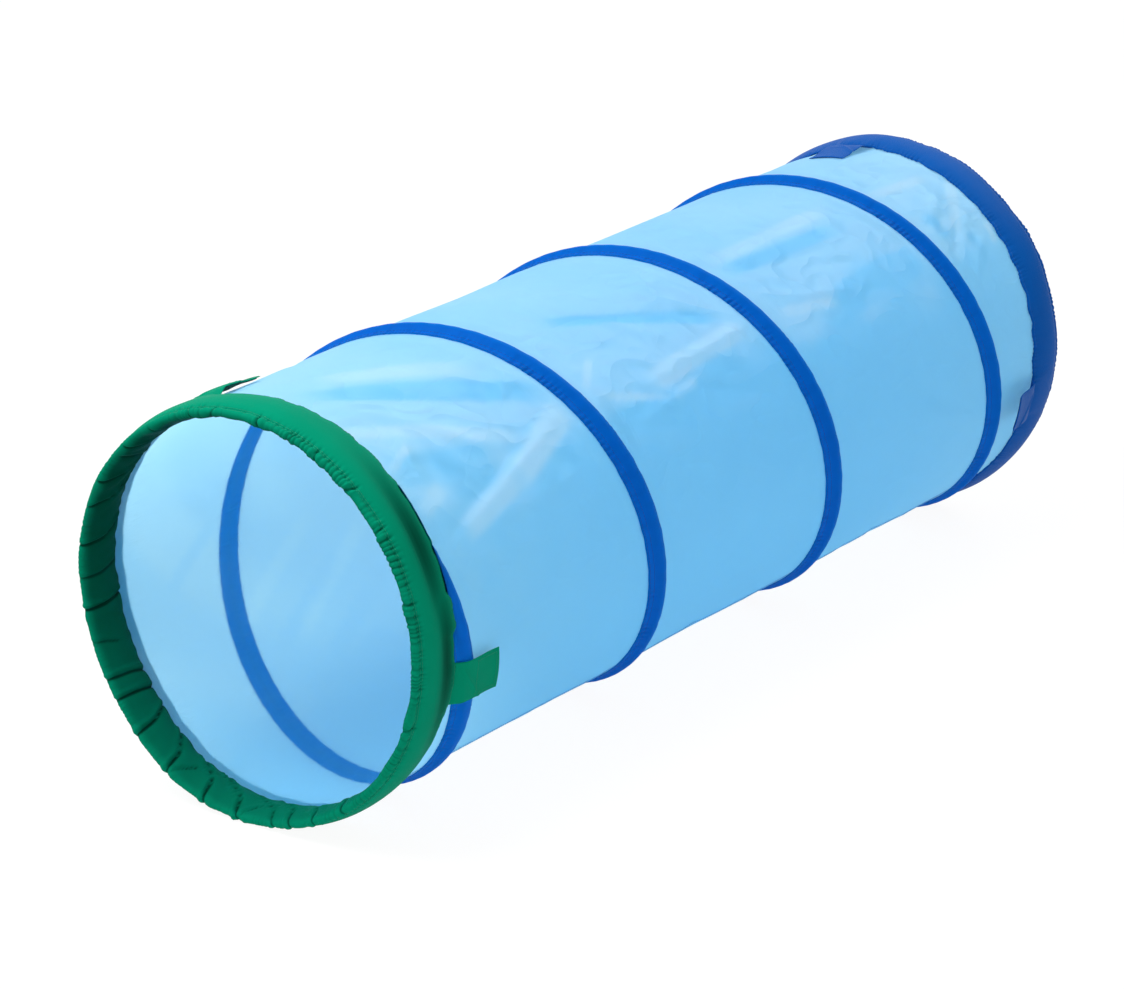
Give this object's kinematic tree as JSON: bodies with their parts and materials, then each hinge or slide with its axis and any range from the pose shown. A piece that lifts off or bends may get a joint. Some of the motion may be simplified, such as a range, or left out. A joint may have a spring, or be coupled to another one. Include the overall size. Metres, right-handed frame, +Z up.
{
  "type": "kids play tunnel",
  "caption": "Light blue fabric crawl tunnel held open by a spiral wire, with a green hoop casing at one end, a blue one at the other and hook and loop joining tabs.",
  "frame": {"origin": "on the floor, under the crown of the green hoop casing", "axes": "+Y along the tunnel from the green hoop to the blue one, +Z up, +X to the right as seen from the green end"},
  "size_m": [0.5039, 1.3525, 0.4866],
  "materials": {
    "sky_fabric": "satin",
    "green_cloth": "satin",
    "blue_cloth": "satin",
    "blue_tape": "satin",
    "spring_steel": "satin",
    "green_hooks": "matte",
    "blue_loops": "matte"
  },
  "bodies": {
    "front_end": {"front_casing": "green_cloth", "front_hoop_wire": "spring_steel", "front_hoop_ferrule": "spring_steel", "tunnel_fabric": "sky_fabric", "spiral_wire": "spring_steel", "spiral_casing": "blue_tape"},
    "back_end": {"back_casing": "blue_cloth", "back_hoop_wire": "spring_steel", "back_hoop_ferrule": "spring_steel"},
    "front_tab_1": {"front_tab_1": "green_cloth", "front_tab_1_hooks": "green_hooks"},
    "front_tab_2": {"front_tab_2": "green_cloth", "front_tab_2_hooks": "green_hooks"},
    "back_tab_1": {"back_tab_1": "blue_cloth", "back_tab_1_loops": "blue_loops"},
    "back_tab_2": {"back_tab_2": "blue_cloth", "back_tab_2_loops": "blue_loops"}
  },
  "joints": [
    {"name": "tunnel_length", "type": "slide", "parent": "front_end", "child": "back_end", "axis": [0, 1, 0], "range_m": [-1.084, 0], "stiffness_N_per_m": 2.5, "springref_m": 0.35, "deforming": ["tunnel_fabric", "spiral_wire", "spiral_casing"]},
    {"name": "front_tab_1_hinge", "type": "hinge", "parent": "front_end", "child": "front_tab_1", "pos_m": [0.23549, 0.036, 0.19942], "axis": [-0.1822, 0, -0.9833], "range_deg": [0, 145]},
    {"name": "front_tab_2_hinge", "type": "hinge", "parent": "front_end", "child": "front_tab_2", "pos_m": [-0.109, 0.036, 0.457], "axis": [0.891, 0, 0.454], "range_deg": [0, 150]},
    {"name": "back_tab_1_hinge", "type": "hinge", "parent": "back_end", "child": "back_tab_1", "pos_m": [0.2352, 1.277, 0.19093], "axis": [0.2164, 0, 0.9763], "range_deg": [-13, 135]},
    {"name": "back_tab_2_hinge", "type": "hinge", "parent": "back_end", "child": "back_tab_2", "pos_m": [-0.04172, 1.277, 0.47965], "axis": [-0.9848, 0, -0.1736], "range_deg": [0, 150]}
  ]
}
